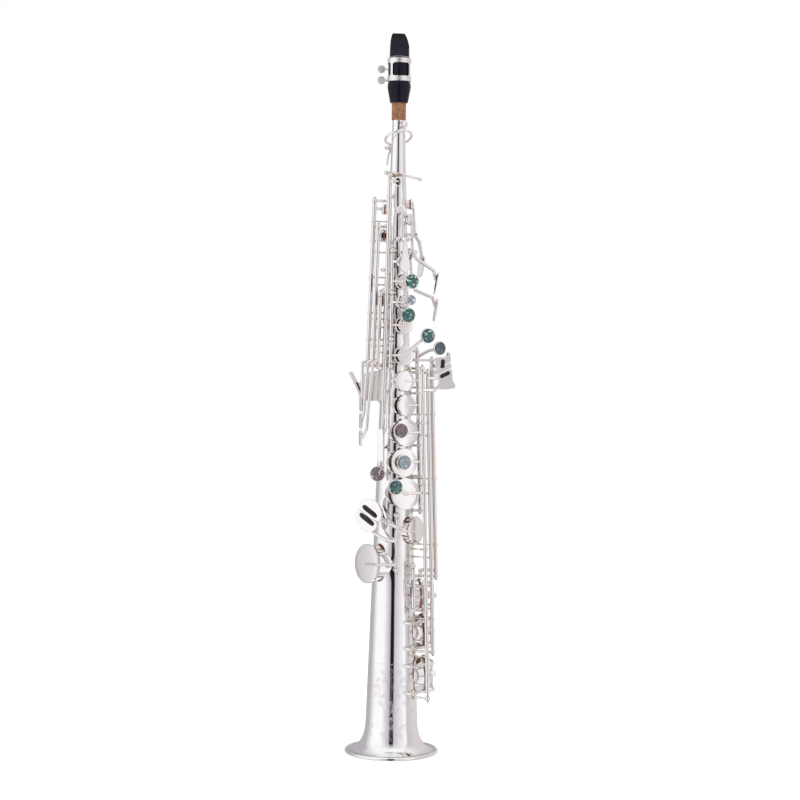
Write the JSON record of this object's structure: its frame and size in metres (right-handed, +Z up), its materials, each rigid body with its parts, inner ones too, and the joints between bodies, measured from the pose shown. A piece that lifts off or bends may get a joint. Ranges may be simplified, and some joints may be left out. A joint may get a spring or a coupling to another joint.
{
  "type": "soprano saxophone",
  "caption": "Straight silver-plated soprano saxophone with a full set of sprung keys, pearl touches, low-note guards and a cork-fitted hard-rubber mouthpiece, standing on its bell.",
  "frame": {"origin": "centre of the bell's rim plane, on the bore axis", "axes": "+Z up the bore to the mouthpiece, -Y towards the front stack of keys, +X to the player's left"},
  "size_m": [0.099, 0.0908, 0.698],
  "materials": {
    "body_plate": "mirror-polished silver plate over brass, lightly engraved near the bell",
    "key_plate": "polished silver plate over brass",
    "ligature_plate": "polished silver plate over brass",
    "rod_steel": "oiled turned steel",
    "ebonite": "polished black hard rubber",
    "cane": "smooth cane",
    "cork": "greased natural cork",
    "pad_leather": "tan kid leather over felt",
    "pearl": "dark mother-of-pearl",
    "bumper_felt": "plated screw with a felt tip"
  },
  "bodies": {
    "body": {"bell": "body_plate", "body_tube": "body_plate", "neck_tube": "body_plate", "bell_rim_ring": "body_plate", "neck_cork": "cork", "posts": "key_plate", "hinge_rods": "rod_steel", "thumb_hook": "key_plate", "thumb_rest": "key_plate", "strap_ring": "key_plate", "guard_low_c_sharp": "key_plate", "guard_low_b": "key_plate", "guard_low_b_flat": "key_plate", "guard_bumpers": "bumper_felt"},
    "mouthpiece": {"mouthpiece": "ebonite", "reed": "cane", "ligature": "ligature_plate"},
    "ligature_screw_lower": {"ligature_screw_lower": "ligature_plate"},
    "ligature_screw_upper": {"ligature_screw_upper": "ligature_plate"},
    "c_vent_key": {"c_vent_key": "key_plate"},
    "b_key": {"b_key": "key_plate", "b_pearl": "pearl"},
    "bis_key": {"bis_key": "key_plate", "bis_pearl": "pearl"},
    "a_key": {"a_key": "key_plate", "a_pearl": "pearl"},
    "g_key": {"g_key": "key_plate", "g_pearl": "pearl"},
    "f_sharp_key": {"f_sharp_key": "key_plate"},
    "f_key": {"f_key": "key_plate", "f_pearl": "pearl"},
    "e_key": {"e_key": "key_plate", "e_pearl": "pearl"},
    "d_key": {"d_key": "key_plate", "d_pearl": "pearl"},
    "g_sharp_key": {"g_sharp_key": "key_plate", "g_sharp_pearl": "pearl"},
    "e_flat_key": {"e_flat_key": "key_plate", "e_flat_pad": "pad_leather"},
    "low_c_key": {"low_c_key": "key_plate", "low_c_pad": "pad_leather"},
    "low_c_sharp_lever": {"low_c_sharp_lever": "key_plate"},
    "low_b_key": {"low_b_key": "key_plate", "low_b_pad": "pad_leather"},
    "low_b_flat_key": {"low_b_flat_key": "key_plate", "low_b_flat_pad": "pad_leather"},
    "low_c_sharp_key": {"low_c_sharp_key": "key_plate", "low_c_sharp_pad": "pad_leather"},
    "high_e_key": {"high_e_key": "key_plate"},
    "side_c_key": {"side_c_key": "key_plate"},
    "side_b_flat_key": {"side_b_flat_key": "key_plate"},
    "high_f_sharp_key": {"high_f_sharp_key": "key_plate", "high_f_sharp_pearl": "pearl"},
    "palm_f_key": {"palm_f_key": "key_plate"},
    "palm_e_flat_key": {"palm_e_flat_key": "key_plate"},
    "palm_d_key": {"palm_d_key": "key_plate"},
    "front_f_key": {"front_f_key": "key_plate"},
    "body_octave_key": {"body_octave_key": "key_plate"},
    "neck_octave_key": {"neck_octave_key": "key_plate"},
    "octave_thumb_lever": {"octave_thumb_lever": "key_plate"}
  },
  "joints": [
    {"name": "mouthpiece_slide", "type": "slide", "parent": "body", "child": "mouthpiece", "axis": [0, 0, 1], "range_m": [-0.006, 0.022]},
    {"name": "ligature_screw_lower_turn", "type": "hinge", "parent": "mouthpiece", "child": "ligature_screw_lower", "pos_m": [0.00362, 0.01352, 0.6536], "axis": [-0.9659, 0.2588, 0], "continuous": true},
    {"name": "ligature_screw_upper_turn", "type": "hinge", "parent": "mouthpiece", "child": "ligature_screw_upper", "pos_m": [0.00362, 0.01352, 0.6642], "axis": [-0.9659, 0.2588, 0], "continuous": true},
    {"name": "c_vent_turn", "type": "hinge", "parent": "body", "child": "c_vent_key", "pos_m": [-0.01027, -0.01224, 0.4774], "axis": [0.0212, 0.0253, 0.9995], "range_deg": [0, 9], "stiffness_Nm_per_rad": 0.03, "springref_deg": -20.05},
    {"name": "b_turn", "type": "hinge", "parent": "body", "child": "b_key", "pos_m": [-0.01064, -0.01268, 0.45975], "axis": [0.0212, 0.0253, 0.9995], "range_deg": [0, 12], "stiffness_Nm_per_rad": 0.03, "springref_deg": -20.05},
    {"name": "bis_turn", "type": "hinge", "parent": "body", "child": "bis_key", "pos_m": [-0.01116, -0.0133, 0.43545], "axis": [0.0212, 0.0253, 0.9995], "range_deg": [0, 12], "stiffness_Nm_per_rad": 0.03, "springref_deg": -20.05},
    {"name": "a_turn", "type": "hinge", "parent": "body", "child": "a_key", "pos_m": [-0.01157, -0.01379, 0.4158], "axis": [0.0212, 0.0253, 0.9995], "range_deg": [0, 12], "stiffness_Nm_per_rad": 0.03, "springref_deg": -20.05},
    {"name": "g_turn", "type": "hinge", "parent": "body", "child": "g_key", "pos_m": [-0.01212, -0.01445, 0.39], "axis": [0.0212, 0.0253, 0.9995], "range_deg": [0, 12], "stiffness_Nm_per_rad": 0.03, "springref_deg": -20.05},
    {"name": "f_sharp_turn", "type": "hinge", "parent": "body", "child": "f_sharp_key", "pos_m": [0.01714, -0.01543, 0.3384], "axis": [0.0245, -0.0221, -0.9995], "range_deg": [0, 10], "stiffness_Nm_per_rad": 0.03, "springref_deg": -20.05},
    {"name": "f_turn", "type": "hinge", "parent": "body", "child": "f_key", "pos_m": [0.01769, -0.01593, 0.3157], "axis": [0.0245, -0.0221, -0.9995], "range_deg": [0, 10], "stiffness_Nm_per_rad": 0.03, "springref_deg": -20.05},
    {"name": "e_turn", "type": "hinge", "parent": "body", "child": "e_key", "pos_m": [0.01844, -0.0166, 0.28525], "axis": [0.0245, -0.0221, -0.9995], "range_deg": [0, 10], "stiffness_Nm_per_rad": 0.03, "springref_deg": -20.05},
    {"name": "d_turn", "type": "hinge", "parent": "body", "child": "d_key", "pos_m": [0.01921, -0.0173, 0.25375], "axis": [0.0245, -0.0221, -0.9995], "range_deg": [0, 10], "stiffness_Nm_per_rad": 0.03, "springref_deg": -20.05},
    {"name": "g_sharp_turn", "type": "hinge", "parent": "body", "child": "g_sharp_key", "pos_m": [0.01909, -0.0085, 0.3736], "axis": [-0.0301, 0.0134, 0.9995], "range_deg": [0, 11], "stiffness_Nm_per_rad": 0.03, "springref_deg": -20.05},
    {"name": "e_flat_turn", "type": "hinge", "parent": "body", "child": "e_flat_key", "pos_m": [-0.00847, -0.02607, 0.2216], "axis": [-0.0102, -0.0314, -0.9995], "range_deg": [0, 9], "stiffness_Nm_per_rad": 0.03, "springref_deg": -20.05},
    {"name": "low_c_turn", "type": "hinge", "parent": "body", "child": "low_c_key", "pos_m": [-0.00871, -0.02681, 0.1981], "axis": [-0.0102, -0.0314, -0.9995], "range_deg": [0, 9], "stiffness_Nm_per_rad": 0.05, "springref_deg": -20.05},
    {"name": "low_c_sharp_lever_turn", "type": "hinge", "parent": "body", "child": "low_c_sharp_lever", "pos_m": [0.03098, -0.02378, 0.278], "axis": [-0.0262, 0.0201, 0.9995], "range_deg": [0, 7.5], "stiffness_Nm_per_rad": 0.05, "springref_deg": -20.05},
    {"name": "low_b_turn", "type": "hinge", "parent": "body", "child": "low_b_key", "pos_m": [0.02649, -0.02649, 0.2354], "axis": [-0.0233, 0.0233, 0.9995], "range_deg": [0, 8.5], "stiffness_Nm_per_rad": 0.05, "springref_deg": -20.05},
    {"name": "low_b_flat_turn", "type": "hinge", "parent": "body", "child": "low_b_flat_key", "pos_m": [0.02035, -0.02801, 0.2152], "axis": [-0.0194, 0.0267, 0.9995], "range_deg": [0, 8.5], "stiffness_Nm_per_rad": 0.05, "springref_deg": -20.05},
    {"name": "low_c_sharp_turn", "type": "hinge", "parent": "body", "child": "low_c_sharp_key", "pos_m": [0.00923, -0.02681, 0.16275], "axis": [0.0107, -0.0312, -0.9995], "range_deg": [0, 8], "stiffness_Nm_per_rad": 0.05, "springref_deg": -20.05},
    {"name": "high_e_turn", "type": "hinge", "parent": "body", "child": "high_e_key", "pos_m": [-0.02607, 0.00228, 0.4564], "axis": [0.0329, -0.0029, 0.9995], "range_deg": [0, 9], "stiffness_Nm_per_rad": 0.03, "springref_deg": -20.05},
    {"name": "side_c_turn", "type": "hinge", "parent": "body", "child": "side_c_key", "pos_m": [-0.02421, -0.00427, 0.4439], "axis": [0.0325, 0.0057, 0.9995], "range_deg": [0, 9], "stiffness_Nm_per_rad": 0.03, "springref_deg": -20.05},
    {"name": "side_b_flat_turn", "type": "hinge", "parent": "body", "child": "side_b_flat_key", "pos_m": [-0.02239, -0.00905, 0.4115], "axis": [0.0306, 0.0124, 0.9995], "range_deg": [0, 9], "stiffness_Nm_per_rad": 0.03, "springref_deg": -20.05},
    {"name": "high_f_sharp_turn", "type": "hinge", "parent": "body", "child": "high_f_sharp_key", "pos_m": [-0.01581, -0.01066, 0.42915], "axis": [-0.0273, -0.0184, -0.9995], "range_deg": [0, 9], "stiffness_Nm_per_rad": 0.03, "springref_deg": -20.05},
    {"name": "palm_f_turn", "type": "hinge", "parent": "body", "child": "palm_f_key", "pos_m": [0.01643, -0.00471, 0.504], "axis": [0.2756, 0.9613, 0], "range_deg": [0, 8], "stiffness_Nm_per_rad": 0.03, "springref_deg": -20.05},
    {"name": "palm_e_flat_turn", "type": "hinge", "parent": "body", "child": "palm_e_flat_key", "pos_m": [0.00959, -0.01422, 0.487], "axis": [0.829, 0.5592, 0], "range_deg": [0, 8], "stiffness_Nm_per_rad": 0.03, "springref_deg": -20.05},
    {"name": "palm_d_turn", "type": "hinge", "parent": "body", "child": "palm_d_key", "pos_m": [0.01858, 0.00463, 0.457], "axis": [-0.2419, 0.9703, 0], "range_deg": [0, 8], "stiffness_Nm_per_rad": 0.03, "springref_deg": -20.05},
    {"name": "front_f_turn", "type": "hinge", "parent": "body", "child": "front_f_key", "pos_m": [-0.00146, -0.0167, 0.499], "axis": [0.9962, -0.0872, 0], "range_deg": [0, 6], "stiffness_Nm_per_rad": 0.03, "springref_deg": -20.05},
    {"name": "body_octave_turn", "type": "hinge", "parent": "body", "child": "body_octave_key", "pos_m": [0, 0.01533, 0.512], "axis": [-1, 0, 0], "range_deg": [0, 8], "stiffness_Nm_per_rad": 0.03, "springref_deg": -20.05},
    {"name": "neck_octave_turn", "type": "hinge", "parent": "body", "child": "neck_octave_key", "pos_m": [0, 0.01332, 0.588], "axis": [1, 0, 0], "range_deg": [0, 7], "stiffness_Nm_per_rad": 0.03, "springref_deg": -20.05},
    {"name": "octave_thumb_lever_turn", "type": "hinge", "parent": "body", "child": "octave_thumb_lever", "pos_m": [0, 0.01972, 0.47], "axis": [-1, 0, 0], "range_deg": [0, 8], "stiffness_Nm_per_rad": 0.03, "springref_deg": -20.05}
  ],
  "couplings": [
    {"joint": "f_sharp_turn", "follows": "f_turn", "ratio": 1},
    {"joint": "c_vent_turn", "follows": "b_turn", "ratio": 0.75},
    {"joint": "neck_octave_turn", "follows": "octave_thumb_lever_turn", "ratio": 0.875},
    {"joint": "low_c_sharp_turn", "follows": "low_c_sharp_lever_turn", "ratio": 1}
  ]
}
